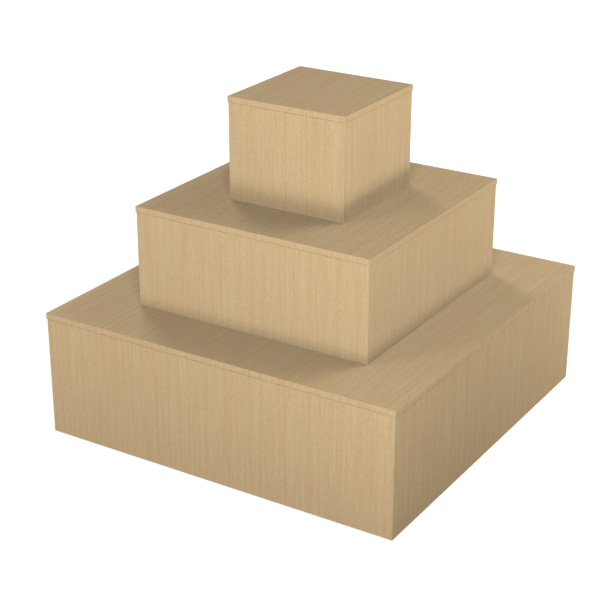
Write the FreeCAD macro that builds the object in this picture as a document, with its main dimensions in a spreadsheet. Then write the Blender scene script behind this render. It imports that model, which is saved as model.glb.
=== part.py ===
import FreeCAD, Part
import os
import Sketcher

# Three-tier square display table, a stepped pyramid of laminated boxes.
# Each tier is a top board with banded edges over four mitred sides. Battens in the
# corners hold the sides, and cleats and cross-halved ribs carry the wider tops.
# The middle and upper tiers drop onto the tier below with locating pins, and
# the base stands on four screw levellers.
#
# Frame: origin on the floor under the centre, +Z up, front face towards -Y. Sizes in mm.

# Driving sizes: alias, value, meaning.
SIZES = [
    ("base_width", 1219.2, "base top, edge to edge"),
    ("middle_width", 812.8, "middle top, edge to edge"),
    ("upper_width", 406.4, "upper top, edge to edge"),
    ("base_height", 406.4, "floor to the face of the base top"),
    ("middle_height", 323.85, "base top to middle top"),
    ("upper_height", 323.85, "middle top to upper top"),
    ("top_board", 19.05, "thickness of the top boards"),
    ("side_board", 19.05, "thickness of the side boards"),
    ("rib_board", 19.05, "thickness of the ribs"),
    ("edge_band", 2.0, "thickness of the edge bands"),
    ("overhang", 2.0, "how far a top stands out past its sides"),
    ("post_width", 38.0, "square corner post"),
    ("stack_gap", 3.0, "stacked tier's posts and ribs above its lower edge"),
    ("cleat_height", 38.0, "cleat, up and down"),
    ("cleat_depth", 19.0, "cleat, out from the side"),
    ("cleat_gap", 0.5, "cleat end to corner post"),
    ("housing_depth", 6.0, "groove for a rib in the side board"),
    ("housing_gap", 0.25, "rib face to groove wall, and rib end to groove floor"),
    ("notch_gap", 0.5, "rib to cleat"),
    ("halving_gap", 0.2, "rib to rib at the cross halving"),
    ("rib_floor_gap", 12.0, "base ribs above the lower edge of the sides"),
    ("screw_shank", 4.0, "wood screw, thread diameter"),
    ("screw_head", 8.0, "wood screw, head diameter"),
    ("screw_head_depth", 2.2, "countersunk head, depth"),
    ("screw_point", 4.0, "tapered point, length"),
    ("screw_cover", 8.0, "board left beyond a screw's point"),
    ("screw_bore_gap", 0.05, "screw to the wood around it"),
    ("cleat_screws", 4, "screws along a cleat, each way"),
    ("cleat_screw_margin", 60.0, "cleat end to its first screw"),
    ("cleat_screw_stagger", 36.0, "upright screws beside the level ones"),
    ("post_screws", 2, "screws up a post into each side"),
    ("post_screw_margin", 75.0, "post end to its first screw"),
    ("post_screw_stagger", 20.0, "one face's screws above the other's"),
    ("pin_diameter", 10.0, "locating pin"),
    ("pin_chamfer", 1.5, "lead-in at the pin's lower end"),
    ("pin_depth", 25.0, "pin inside its post"),
    ("pin_end_gap", 3.0, "pin to the floor of its socket hole"),
    ("glue_gap", 0.05, "pin, dowel, socket or insert to the wood around it"),
    ("socket_gap", 0.4, "pin to its socket"),
    ("socket_wall", 2.0, "socket, wall"),
    ("socket_floor", 5.0, "top board left under a socket"),
    ("dowel_diameter", 10.0, "dowel between upper post and top"),
    ("dowel_cover", 6.0, "top board left over a dowel hole"),
    ("dowel_in_post", 28.0, "dowel inside the post"),
    ("dowel_spare", 1.0, "hole beyond each end of the dowel"),
    ("foot_stand", 1.0, "sides above the floor with the levellers right in"),
    ("pad_diameter", 36.0, "leveller pad"),
    ("pad_rim", 3.0, "pad, height of its rim and floor of its pocket"),
    ("pad_wall", 4.0, "pad, wall round its pocket"),
    ("pad_roof", 3.0, "pad, above its pocket"),
    ("disc_lip", 2.5, "stem's foot disc, out past the neck"),
    ("disc_height", 3.0, "foot disc, height"),
    ("disc_gap", 0.1, "foot disc and neck to the pad"),
    ("neck_diameter", 7.0, "stem between disc and hexagon"),
    ("hex_gap", 0.5, "pad to the stem's hexagon"),
    ("hex_flats", 13.0, "stem's hexagon across flats"),
    ("hex_height", 4.0, "stem's hexagon, height"),
    ("stem_diameter", 8.0, "leveller thread, outside"),
    ("stem_length", 40.0, "threaded stem above the hexagon"),
    ("stem_chamfer", 1.0, "lead-in at the stem's end"),
    ("stop_gap", 0.3, "hexagon to the insert with the leveller right in"),
    ("thread_gap", 0.05, "stem to the insert's bore"),
    ("stem_clear", 0.5, "stem to the plain hole above the insert"),
    ("stem_spare", 3.0, "plain hole beyond the stem's end"),
    ("insert_wall", 2.0, "insert, wall"),
    ("insert_length", 18.0, "insert inside the post"),
    ("insert_flange", 1.5, "insert's flange, thickness"),
    ("flange_lip", 4.0, "insert's flange, out past its sleeve"),
]

# Quarter turns about +Z: each side, and the corner at its left end seen from outside.
SIDES = ["front", "right", "back", "left"]
CORNERS = ["front_left", "front_right", "back_right", "back_left"]
QUARTERS = len(SIDES)
QUARTER_TURN = 360 / QUARTERS
HEX_SIDES = 6

# How a sketch numbers its axes and the points of an edge.
LEVEL_AXIS = -1
UPRIGHT_AXIS = -2
START = 1
END = 2
CENTRE = 3

document = FreeCAD.newDocument("TieredDisplayTable")
sheet = document.addObject("Spreadsheet::Sheet", "Sizes")
nodes = []


def fill_sheet():
    """Write each driving size into the sheet under its alias."""
    for row, (alias, value, meaning) in enumerate(SIZES, start=1):
        sheet.set(f"A{row}", meaning)
        sheet.set(f"B{row}", str(value))
        sheet.setAlias(f"B{row}", alias)
    document.recompute()


def minus(expression):
    """The expression with its sign changed."""
    return f"(-1 * {expression})"


# Heights above the floor at a leveller, and sizes that several pieces share.
DISC_TOP = "(Sizes.pad_rim + Sizes.disc_height)"
POCKET_ROOF = f"({DISC_TOP} + Sizes.disc_gap)"
PAD_TOP = f"({POCKET_ROOF} + Sizes.pad_roof)"
HEX_BOTTOM = f"({PAD_TOP} + Sizes.hex_gap)"
HEX_TOP = f"({HEX_BOTTOM} + Sizes.hex_height)"
STEM_TOP = f"({HEX_TOP} + Sizes.stem_length)"
FLANGE_BOTTOM = f"({HEX_TOP} + Sizes.stop_gap)"
FLANGE_TOP = f"({FLANGE_BOTTOM} + Sizes.insert_flange)"
DISC_RADIUS = "(Sizes.neck_diameter / 2 + Sizes.disc_lip)"
POCKET_RADIUS = f"({DISC_RADIUS} + Sizes.disc_gap)"
INSERT_BORE = "(Sizes.stem_diameter / 2 + Sizes.thread_gap)"
INSERT_RADIUS = f"({INSERT_BORE} + Sizes.insert_wall)"
SOCKET_BORE = "(Sizes.pin_diameter / 2 + Sizes.socket_gap)"
SOCKET_RADIUS = f"({SOCKET_BORE} + Sizes.socket_wall)"
SOCKET_DEPTH = "(Sizes.top_board - Sizes.socket_floor)"
PIN_REACH = f"({SOCKET_DEPTH} - Sizes.pin_end_gap)"
DOWEL_HOLE_IN_TOP = "(Sizes.top_board - Sizes.dowel_cover)"
DOWEL_IN_TOP = f"({DOWEL_HOLE_IN_TOP} - Sizes.dowel_spare)"
LEVEL_BITE = "(Sizes.side_board - Sizes.screw_cover)"
UPRIGHT_BITE = "(Sizes.top_board - Sizes.screw_cover)"


class Tier:
    """Expressions for one tier. Heights start at the lower edge of its sides."""

    def __init__(self, name, below, stand, post_gap, rib_gap, cleated):
        self.name = name
        self.bottom = f"({below} + {stand})"
        self.side_height = f"(Sizes.{name}_height - Sizes.top_board - {stand})"
        self.face = f"(Sizes.{name}_height - {stand})"
        self.half = f"(Sizes.{name}_width / 2)"
        self.outer = f"({self.half} - Sizes.overhang)"
        self.inner = f"({self.outer} - Sizes.side_board)"
        self.post_centre = f"({self.inner} - Sizes.post_width / 2)"
        self.post_inner = f"({self.inner} - Sizes.post_width)"
        self.post_gap = post_gap
        self.rib_gap = rib_gap
        self.cleated = cleated
        self.cleat_half = f"({self.post_inner} - Sizes.cleat_gap)"
        self.cleat_inner = f"({self.inner} - Sizes.cleat_depth)"
        self.cleat_bottom = f"({self.side_height} - Sizes.cleat_height)"


BASE = Tier(
    name="base",
    below="0",
    stand="Sizes.foot_stand",
    post_gap=f"({FLANGE_TOP} - Sizes.foot_stand)",
    rib_gap="Sizes.rib_floor_gap",
    cleated=True,
)
MIDDLE = Tier(
    name="middle",
    below="Sizes.base_height",
    stand="0",
    post_gap="Sizes.stack_gap",
    rib_gap="Sizes.stack_gap",
    cleated=True,
)
UPPER = Tier(
    name="upper",
    below="Sizes.base_height + Sizes.middle_height",
    stand="0",
    post_gap="Sizes.stack_gap",
    rib_gap="Sizes.stack_gap",
    cleated=False,
)


def number(expression):
    """Value of an expression on the sheet."""
    return float(sheet.evalExpression(expression))


def origin_feature(body, role):
    """Plane or axis of a body's own origin."""
    return next(item for item in body.Origin.OriginFeatures if item.Role == role)


def new_body(name):
    """Empty body that may hold several separate solids."""
    body = document.addObject("PartDesign::Body", name)
    body.AllowCompound = True
    return body


def add_node(piece, label, lift, quarter=0):
    """Name a finished piece, turn it by quarter turns about +Z and lift it."""
    turn = FreeCAD.Rotation(FreeCAD.Vector(0, 0, 1), QUARTER_TURN * quarter)
    piece.Label = label
    piece.Placement = FreeCAD.Placement(FreeCAD.Vector(0, 0, 0), turn)
    piece.setExpression("Placement.Base.z", lift)
    nodes.append(piece)


def add_copies(master, labels, lift):
    """Copies of a piece at the four quarter turns, each a node of its own."""
    for quarter, label in enumerate(labels):
        copy = document.addObject("Part::Compound", label)
        copy.Links = [master]
        add_node(copy, label, lift, quarter)


def new_sketch(body, plane, offset=None):
    """Sketch on one of the body's origin planes, moved along its normal by an expression."""
    sketch = body.newObject("Sketcher::SketchObject", f"{body.Name}_sketch")
    sketch.AttachmentSupport = [(origin_feature(body, plane), "")]
    sketch.MapMode = "FlatFace"
    if offset:
        sketch.setExpression("AttachmentOffset.Base.z", offset)
    return sketch


def fix_point(sketch, edge, end, point):
    """Tie one end of an edge to a pair of expressions measured from the sketch's origin."""
    across = ("DistanceX", UPRIGHT_AXIS, point[0])
    upwards = ("DistanceY", LEVEL_AXIS, point[1])
    for kind, axis, expression in (across, upwards):
        if expression == "0":
            sketch.addConstraint(Sketcher.Constraint("PointOnObject", edge, end, axis))
            continue
        origin = (LEVEL_AXIS, START)
        distance = Sketcher.Constraint(kind, *origin, edge, end, number(expression))
        index = sketch.addConstraint(distance)
        sketch.setExpression(f"Constraints[{index}]", expression)


def polygon(sketch, corners):
    """Closed outline through corners, each a pair of expressions."""
    points = [FreeCAD.Vector(number(x), number(y), 0) for x, y in corners]
    following = points[1:] + points[:1]
    for start, end in zip(points, following):
        sketch.addGeometry(Part.LineSegment(start, end), False)
    for index, corner in enumerate(corners):
        after = (index + 1) % len(corners)
        sketch.addConstraint(Sketcher.Constraint("Coincident", index, END, after, START))
        fix_point(sketch, index, START, corner)


def rectangle(low_x, low_y, high_x, high_y):
    """Corners of a rectangle between two expressions each way."""
    return [(low_x, low_y), (high_x, low_y), (high_x, high_y), (low_x, high_y)]


def circle(sketch, centre, radius):
    """Circle about a pair of expressions."""
    middle = FreeCAD.Vector(number(centre[0]), number(centre[1]), 0)
    normal = FreeCAD.Vector(0, 0, 1)
    edge = sketch.addGeometry(Part.Circle(middle, normal, number(radius)), False)
    fix_point(sketch, edge, CENTRE, centre)
    index = sketch.addConstraint(Sketcher.Constraint("Radius", edge, number(radius)))
    sketch.setExpression(f"Constraints[{index}]", radius)


def pad(body, sketch, length, symmetric=False):
    """Pad a sketch along its normal, or half of the length each way."""
    feature = body.newObject("PartDesign::Pad", f"{body.Name}_pad")
    feature.Profile = sketch
    feature.setExpression("Length", length)
    if symmetric:
        feature.SideType = "Symmetric"


def pocket(body, sketch, depth):
    """Cut a sketch into the body along its normal."""
    document.recompute()
    before = body.Shape.Volume
    feature = body.newObject("PartDesign::Pocket", f"{body.Name}_pocket")
    feature.Profile = sketch
    feature.setExpression("Length", depth)
    feature.Reversed = True
    document.recompute()
    if body.Shape.Volume >= before:
        raise RuntimeError(f"{body.Name}: a pocket cuts nothing")
    return feature


def revolve(body, sketch, axis_edge):
    """Turn a sketch a full turn about one of its own edges."""
    feature = body.newObject("PartDesign::Revolution", f"{body.Name}_revolution")
    feature.Profile = sketch
    feature.ReferenceAxis = (sketch, [axis_edge])
    feature.Angle = 360
    document.recompute()
    return feature


def row(body, feature, axis, length, count):
    """Repeat a feature in a row along one of the body's axes."""
    pattern = body.newObject("PartDesign::LinearPattern", f"{body.Name}_row")
    pattern.Originals = [feature]
    pattern.Direction = (origin_feature(body, axis), [""])
    pattern.setExpression("Length", length)
    pattern.setExpression("Occurrences", count)
    body.Tip = pattern


def four_quarters(body, feature=None):
    """Repeat one feature, or else the whole shape, at each quarter turn about +Z."""
    document.recompute()
    pattern = body.newObject("PartDesign::PolarPattern", f"{body.Name}_quarters")
    if feature:
        pattern.Originals = [feature]
    else:
        pattern.TransformMode = "Whole shape"
    pattern.Axis = (origin_feature(body, "Z_Axis"), [""])
    pattern.Angle = 360
    pattern.Occurrences = QUARTERS
    body.Tip = pattern


def box(name, low, size):
    """Box from its low corner and its size, each three expressions."""
    piece = document.addObject("Part::Box", name)
    for prop, expression in zip(("Length", "Width", "Height"), size):
        piece.setExpression(prop, expression)
    for letter, expression in zip("xyz", low):
        piece.setExpression(f"Placement.Base.{letter}", expression)
    return piece


def drilled(blank, drills):
    """Blank with its screw holes cut."""
    cut = document.addObject("Part::Cut", f"{blank.Name}_drilled")
    cut.Base = blank
    cut.Tool = drills
    return cut


def screw_section(length, gap):
    """Half section of a countersunk screw as (along, out) steps from its head's centre."""
    shank = f"(Sizes.screw_shank / 2 + {gap})"
    return [
        ("0", "0"),
        ("0", f"(Sizes.screw_head / 2 + {gap})"),
        (f"(Sizes.screw_head_depth + {gap})", shank),
        (f"({length} - Sizes.screw_point)", shank),
        (f"({length} + {gap})", "0"),
    ]


def level_screw(head, height, length, gap):
    """Section of a screw that points to -Y from its head."""
    steps = screw_section(length, gap)
    return [(f"{head} - {along}", f"{height} + {out}") for along, out in steps]


def upright_screw(head, depth, length, gap):
    """Section of a screw that points to +Z from its head."""
    steps = screw_section(length, gap)
    return [(f"{depth} + {out}", f"{head} + {along}") for along, out in steps]


def screw_row(body, offset, section, axis, length, count):
    """One screw in an upright plane at an X offset, repeated in a row."""
    sketch = new_sketch(body, "YZ_Plane", offset)
    polygon(sketch, section)
    screw = revolve(body, sketch, f"Edge{len(section)}")
    row(body, screw, axis, length, count)


def post_screw_rows(body, tier, gap):
    """Screws from the two front posts into the front board, one row above the other's."""
    head = minus(tier.post_inner)
    length = f"(Sizes.post_width + {LEVEL_BITE})"
    run = f"{tier.side_height} - {tier.post_gap} - 2 * Sizes.post_screw_margin"
    first = f"({tier.post_gap} + Sizes.post_screw_margin)"
    second = f"({first} + Sizes.post_screw_stagger)"
    for offset, height in ((minus(tier.post_centre), first), (tier.post_centre, second)):
        section = level_screw(head, height, length, gap)
        screw_row(body, offset, section, "Z_Axis", run, "Sizes.post_screws")


def cleat_screw_rows(body, tier, gap):
    """Screws through the front cleat, level into the board and upright into the top."""
    reach = f"({tier.cleat_half} - Sizes.cleat_screw_margin)"
    run = f"2 * {reach}"
    height = f"({tier.cleat_bottom} + Sizes.cleat_height / 2)"
    length = f"(Sizes.cleat_depth + {LEVEL_BITE})"
    section = level_screw(minus(tier.cleat_inner), height, length, gap)
    screw_row(body, minus(reach), section, "X_Axis", run, "Sizes.cleat_screws")
    depth = f"(Sizes.cleat_depth / 2 - {tier.inner})"
    length = f"(Sizes.cleat_height + {UPRIGHT_BITE})"
    section = upright_screw(tier.cleat_bottom, depth, length, gap)
    offset = f"Sizes.cleat_screw_stagger - {reach}"
    screw_row(body, offset, section, "X_Axis", run, "Sizes.cleat_screws")


def screw_set(tier, name, gap):
    """Every screw of a tier, or the drills for them where a gap is added."""
    body = new_body(name)
    post_screw_rows(body, tier, gap)
    if tier.cleated:
        cleat_screw_rows(body, tier, gap)
    four_quarters(body)
    return body


def side_board(tier):
    """Mitred front board. Under a cleated top it has a groove for a rib's end."""
    body = new_body(f"{tier.name}_side_board")
    outer = tier.outer
    inner = tier.inner
    corners = [(minus(outer), minus(outer)), (outer, minus(outer)), (inner, minus(inner))]
    if tier.cleated:
        groove = "(Sizes.rib_board / 2 + Sizes.housing_gap)"
        floor = minus(f"({inner} + Sizes.housing_depth)")
        corners += [(groove, minus(inner)), (groove, floor)]
        corners += [(minus(groove), floor), (minus(groove), minus(inner))]
    corners.append((minus(inner), minus(inner)))
    sketch = new_sketch(body, "XY_Plane")
    polygon(sketch, corners)
    pad(body, sketch, tier.side_height)
    return body


def top_board(tier, hole):
    """Top board inside its edge bands. The hole is (centre, radius, start, depth)."""
    body = new_body(f"{tier.name}_top_board")
    half = f"({tier.half} - Sizes.edge_band)"
    sketch = new_sketch(body, "XY_Plane", tier.side_height)
    polygon(sketch, rectangle(minus(half), minus(half), half, half))
    pad(body, sketch, "Sizes.top_board")
    centre, radius, start, depth = hole
    sketch = new_sketch(body, "XY_Plane", start)
    circle(sketch, (minus(centre), minus(centre)), radius)
    four_quarters(body, pocket(body, sketch, depth))
    return body


def edge_bands(tier):
    """Four strips round the top board. The front and back ones cover the others' ends."""
    half = tier.half
    short = f"({half} - Sizes.edge_band)"
    low = tier.side_height
    long_size = (f"2 * {half}", "Sizes.edge_band", "Sizes.top_board")
    short_size = ("Sizes.edge_band", f"2 * {short}", "Sizes.top_board")
    group = document.addObject("Part::Compound", f"{tier.name}_edge_bands")
    group.Links = [
        box(f"{tier.name}_front_band", (minus(half), minus(half), low), long_size),
        box(f"{tier.name}_right_band", (short, minus(short), low), short_size),
        box(f"{tier.name}_back_band", (minus(half), short, low), long_size),
        box(f"{tier.name}_left_band", (minus(half), minus(short), low), short_size),
    ]
    add_node(group, f"{tier.name}_edge_bands", tier.bottom)


def corner_post(tier, holes):
    """Square batten in the front left mitre. Holes are (radius, start, depth)."""
    body = new_body(f"{tier.name}_corner_post")
    sketch = new_sketch(body, "XY_Plane", tier.post_gap)
    far = minus(tier.inner)
    near = minus(tier.post_inner)
    polygon(sketch, rectangle(far, far, near, near))
    pad(body, sketch, f"{tier.side_height} - {tier.post_gap}")
    centre = minus(tier.post_centre)
    for radius, start, depth in holes:
        sketch = new_sketch(body, "XY_Plane", start)
        circle(sketch, (centre, centre), radius)
        pocket(body, sketch, depth)
    return body


def cleat(tier):
    """Batten under the top board, along the front between two posts."""
    low = (minus(tier.cleat_half), minus(tier.inner), tier.cleat_bottom)
    size = (f"2 * {tier.cleat_half}", "Sizes.cleat_depth", "Sizes.cleat_height")
    return box(f"{tier.name}_cleat", low, size)


def rib(tier, label, quarter, slot_from_top):
    """Web under the top board, notched over the cleats and halved over the other rib."""
    body = new_body(label)
    sketch = new_sketch(body, "XZ_Plane")
    end = f"({tier.inner} + Sizes.housing_depth - Sizes.housing_gap)"
    notch = f"({tier.cleat_inner} - Sizes.notch_gap)"
    shoulder = f"({tier.cleat_bottom} - Sizes.notch_gap)"
    slot = "(Sizes.rib_board / 2 + Sizes.halving_gap)"
    low = tier.rib_gap
    high = tier.side_height
    middle = f"(({low} + {high}) / 2)"
    floor = f"({middle} - Sizes.halving_gap / 2)"
    roof = f"({middle} + Sizes.halving_gap / 2)"
    corners = [(end, low), (end, shoulder), (notch, shoulder), (notch, high)]
    if slot_from_top:
        corners += [(slot, high), (slot, floor), (minus(slot), floor), (minus(slot), high)]
    corners += [(minus(notch), high), (minus(notch), shoulder), (minus(end), shoulder)]
    corners.append((minus(end), low))
    if not slot_from_top:
        corners += [(minus(slot), low), (minus(slot), roof), (slot, roof), (slot, low)]
    polygon(sketch, corners)
    pad(body, sketch, "Sizes.rib_board", symmetric=True)
    add_node(body, label, tier.bottom, quarter)


def turned_at_corner(tier, name, section):
    """Round piece on the front left post's axis, from (out, height) steps."""
    body = new_body(name)
    axis = minus(tier.post_centre)
    sketch = new_sketch(body, "YZ_Plane", axis)
    polygon(sketch, [(f"{axis} + {out}", height) for out, height in section])
    revolve(body, sketch, f"Edge{len(section)}")
    return body


def locating_pins(tier):
    """Pins in the lower ends of the posts, with a lead-in below."""
    label = f"{tier.name}_locating_pins"
    radius = "Sizes.pin_diameter / 2"
    tip = minus(PIN_REACH)
    high = f"({tier.post_gap} + Sizes.pin_depth)"
    section = [
        ("0", tip),
        (f"({radius} - Sizes.pin_chamfer)", tip),
        (radius, f"{tip} + Sizes.pin_chamfer"),
        (radius, high),
        ("0", high),
    ]
    body = turned_at_corner(tier, label, section)
    four_quarters(body)
    add_node(body, label, tier.bottom)


def dowels(tier):
    """Dowels between the posts and their top board."""
    label = f"{tier.name}_dowels"
    radius = "Sizes.dowel_diameter / 2"
    low = f"({tier.side_height} - Sizes.dowel_in_post)"
    high = f"({tier.side_height} + {DOWEL_IN_TOP})"
    section = [("0", low), (radius, low), (radius, high), ("0", high)]
    body = turned_at_corner(tier, label, section)
    four_quarters(body)
    add_node(body, label, tier.bottom)


def ring(body, centre, inner, outer, start, length):
    """Pad a ring about a corner axis."""
    sketch = new_sketch(body, "XY_Plane", start)
    circle(sketch, (centre, centre), inner)
    circle(sketch, (centre, centre), outer)
    pad(body, sketch, length)


def pin_sockets(tier, above):
    """Sleeves flush with a tier's top, on the pin axes of the tier above."""
    label = f"{tier.name}_pin_sockets"
    body = new_body(label)
    low = f"({tier.face} - {SOCKET_DEPTH})"
    ring(body, minus(above.post_centre), SOCKET_BORE, SOCKET_RADIUS, low, SOCKET_DEPTH)
    four_quarters(body)
    add_node(body, label, tier.bottom)


def leveller_inserts():
    """Flanged threaded sleeves in the lower ends of the base posts."""
    label = "base_leveller_inserts"
    body = new_body(label)
    centre = minus(BASE.post_centre)
    flange = f"({INSERT_RADIUS} + Sizes.flange_lip)"
    ring(body, centre, INSERT_BORE, flange, FLANGE_BOTTOM, "Sizes.insert_flange")
    ring(body, centre, INSERT_BORE, INSERT_RADIUS, FLANGE_TOP, "Sizes.insert_length")
    four_quarters(body)
    add_node(body, label, "0")


def leveller_pad():
    """Foot with a pocket that traps the stem's disc under its neck hole."""
    neck_hole = "(Sizes.neck_diameter / 2 + Sizes.disc_gap)"
    boss = f"({POCKET_RADIUS} + Sizes.pad_wall)"
    section = [
        ("0", "0"),
        ("Sizes.pad_diameter / 2", "0"),
        ("Sizes.pad_diameter / 2", "Sizes.pad_rim"),
        (boss, PAD_TOP),
        (neck_hole, PAD_TOP),
        (neck_hole, POCKET_ROOF),
        (POCKET_RADIUS, POCKET_ROOF),
        (POCKET_RADIUS, "Sizes.pad_rim"),
        ("0", "Sizes.pad_rim"),
    ]
    return turned_at_corner(BASE, "leveller_pad", section)


def leveller_stem():
    """Threaded spindle with a foot disc, a neck and a hexagon to turn it by."""
    neck = "Sizes.neck_diameter / 2"
    thread = "Sizes.stem_diameter / 2"
    section = [
        ("0", "Sizes.pad_rim"),
        (DISC_RADIUS, "Sizes.pad_rim"),
        (DISC_RADIUS, DISC_TOP),
        (neck, DISC_TOP),
        (neck, HEX_TOP),
        (thread, HEX_TOP),
        (thread, f"{STEM_TOP} - Sizes.stem_chamfer"),
        (f"({thread} - Sizes.stem_chamfer)", STEM_TOP),
        ("0", STEM_TOP),
    ]
    body = turned_at_corner(BASE, "leveller_stem", section)
    axis = minus(BASE.post_centre)
    radius = f"(Sizes.hex_flats / 2 / cos({180 / HEX_SIDES} deg))"
    corners = []
    for step in range(HEX_SIDES):
        angle = f"{360 / HEX_SIDES * step} deg"
        corners.append((f"{axis} + {radius} * cos({angle})", f"{axis} + {radius} * sin({angle})"))
    hexagon = new_sketch(body, "XY_Plane", HEX_BOTTOM)
    polygon(hexagon, corners)
    pad(body, hexagon, "Sizes.hex_height")
    return body


def build_tier(tier, top_hole, post_holes):
    """The boards, battens, bands and screws of one tier."""
    name = tier.name
    add_node(screw_set(tier, f"{name}_screws", "0"), f"{name}_screws", tier.bottom)
    drills = screw_set(tier, f"{name}_drills", "Sizes.screw_bore_gap")
    top = drilled(top_board(tier, top_hole), drills)
    add_node(top, f"{name}_top_panel", tier.bottom)
    edge_bands(tier)
    boards = [f"{name}_{side}_panel" for side in SIDES]
    add_copies(drilled(side_board(tier), drills), boards, tier.bottom)
    posts = [f"{name}_post_{corner}" for corner in CORNERS]
    add_copies(drilled(corner_post(tier, post_holes), drills), posts, tier.bottom)
    if tier.cleated:
        cleats = [f"{name}_{side}_cleat" for side in SIDES]
        add_copies(drilled(cleat(tier), drills), cleats, tier.bottom)
        rib(tier, f"{name}_rib_lengthwise", 0, slot_from_top=True)
        rib(tier, f"{name}_rib_crosswise", 1, slot_from_top=False)


def socket_hole(tier, above):
    """Hole in a tier's top board for the pin sockets of the tier above."""
    radius = f"({SOCKET_RADIUS} + Sizes.glue_gap)"
    start = f"{tier.face} - {SOCKET_DEPTH}"
    return (above.post_centre, radius, start, SOCKET_DEPTH)


def pin_hole(tier):
    """Hole up a post for its locating pin."""
    radius = "(Sizes.pin_diameter / 2 + Sizes.glue_gap)"
    return (radius, tier.post_gap, "Sizes.pin_depth + Sizes.glue_gap")


def build_base():
    """The base tier with its levellers."""
    insert = (
        f"({INSERT_RADIUS} + Sizes.glue_gap)",
        BASE.post_gap,
        "Sizes.insert_length + Sizes.glue_gap",
    )
    stem = (
        "(Sizes.stem_diameter / 2 + Sizes.stem_clear)",
        BASE.post_gap,
        f"{STEM_TOP} + Sizes.stem_spare - {FLANGE_TOP}",
    )
    build_tier(BASE, socket_hole(BASE, MIDDLE), [insert, stem])
    pin_sockets(BASE, MIDDLE)
    leveller_inserts()
    add_copies(leveller_pad(), [f"leveller_pad_{corner}" for corner in CORNERS], "0")
    add_copies(leveller_stem(), [f"leveller_stem_{corner}" for corner in CORNERS], "0")


def build_middle():
    """The middle tier, which lifts off the base."""
    build_tier(MIDDLE, socket_hole(MIDDLE, UPPER), [pin_hole(MIDDLE)])
    pin_sockets(MIDDLE, UPPER)
    locating_pins(MIDDLE)


def build_upper():
    """The upper tier, too small for cleats, whose top is dowelled to its posts."""
    radius = "(Sizes.dowel_diameter / 2 + Sizes.glue_gap)"
    depth = "(Sizes.dowel_in_post + Sizes.dowel_spare)"
    in_post = (radius, f"{UPPER.side_height} - {depth}", depth)
    in_top = (UPPER.post_centre, radius, UPPER.side_height, DOWEL_HOLE_IN_TOP)
    build_tier(UPPER, in_top, [pin_hole(UPPER), in_post])
    dowels(UPPER)
    locating_pins(UPPER)


def check_document():
    """Stop if any object failed or any node has no valid solid."""
    for item in document.Objects:
        if "Invalid" in item.State or "Error" in item.State:
            raise RuntimeError(f"{item.Label}: {item.State}")
    for node in nodes:
        shape = node.Shape
        if shape.isNull() or not shape.isValid() or not shape.Solids:
            raise RuntimeError(f"{node.Label}: no valid solid")


fill_sheet()
build_base()
build_middle()
build_upper()
document.recompute()
check_document()
os.makedirs("parts", exist_ok=True)
for node in nodes:
    node.Shape.exportStep(f"parts/{node.Label}.step")
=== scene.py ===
"""Tiered display table: three laminated boxes stacked as a stepped pyramid.

Each tier is a top board with banded edges over four mitred side boards, framed inside with
battens and ribs. Pins in the two upper tiers drop into sockets in the tops below them, and the
base stands on four screw levellers. Lengths are in metres, +Z is up, the front faces -Y, and the
origin is on the floor under the middle of the table.
"""

import logging
import math
from contextlib import contextmanager
from dataclasses import dataclass, field, replace
from enum import Enum
from typing import Callable, ClassVar, Iterator, Optional, Sequence, Union

import bmesh
import bpy
from mathutils import Matrix, Vector


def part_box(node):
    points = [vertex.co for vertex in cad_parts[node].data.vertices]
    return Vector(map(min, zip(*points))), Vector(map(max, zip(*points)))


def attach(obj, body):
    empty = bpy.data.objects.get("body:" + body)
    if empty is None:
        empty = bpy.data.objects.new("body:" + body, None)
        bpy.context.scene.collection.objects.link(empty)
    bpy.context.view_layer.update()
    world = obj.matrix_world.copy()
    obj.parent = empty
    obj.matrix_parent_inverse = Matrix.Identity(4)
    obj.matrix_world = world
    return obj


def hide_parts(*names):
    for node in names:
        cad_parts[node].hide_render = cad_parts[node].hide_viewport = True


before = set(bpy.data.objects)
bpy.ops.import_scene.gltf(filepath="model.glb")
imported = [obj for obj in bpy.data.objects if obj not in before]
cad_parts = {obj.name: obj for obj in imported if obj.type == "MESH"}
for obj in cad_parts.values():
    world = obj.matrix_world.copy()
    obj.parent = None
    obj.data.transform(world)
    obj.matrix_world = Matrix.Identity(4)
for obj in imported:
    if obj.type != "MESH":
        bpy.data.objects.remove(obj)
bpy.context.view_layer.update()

MM = 0.001
HAIR = 0.01 * MM
QUARTER = math.radians(90)
SHARP = math.radians(25)
CRISP = 30.0
ROUNDED = 40.0
HEXAGON = 6

log = logging.getLogger("tiered_display_table")

Box = tuple[Vector, Vector]
Place = tuple[float, float, float]
Colour = tuple[float, float, float]
Ring = tuple[float, float]
Source = Union[bpy.types.NodeSocket, float, Sequence[float]]
Element = Union[bmesh.types.BMVert, bmesh.types.BMEdge, bmesh.types.BMFace]
Rule = Callable[[Vector], bool]


class Side(Enum):
    """The four sides of a tier, as quarter turns from the front."""

    FRONT = 0
    RIGHT = 1
    BACK = 2
    LEFT = 3


class Corner(Enum):
    """The four corners of a tier, as quarter turns from the front left one."""

    FRONT_LEFT = 0
    FRONT_RIGHT = 1
    BACK_RIGHT = 2
    BACK_LEFT = 3


class GrainRun(Enum):
    """Which way the grain runs, as the turn in degrees that stands it upright."""

    UPRIGHT = (0.0, 0.0, 0.0)
    ALONG_X = (0.0, -90.0, 0.0)
    ALONG_Y = (90.0, 0.0, 0.0)


class Part(Enum):
    """What edit mode selects."""

    VERTS = "verts"
    EDGES = "edges"
    FACES = "faces"


def word(choice: Enum) -> str:
    """Write an option's name as the nodes write it."""
    return choice.name.lower()


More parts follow.
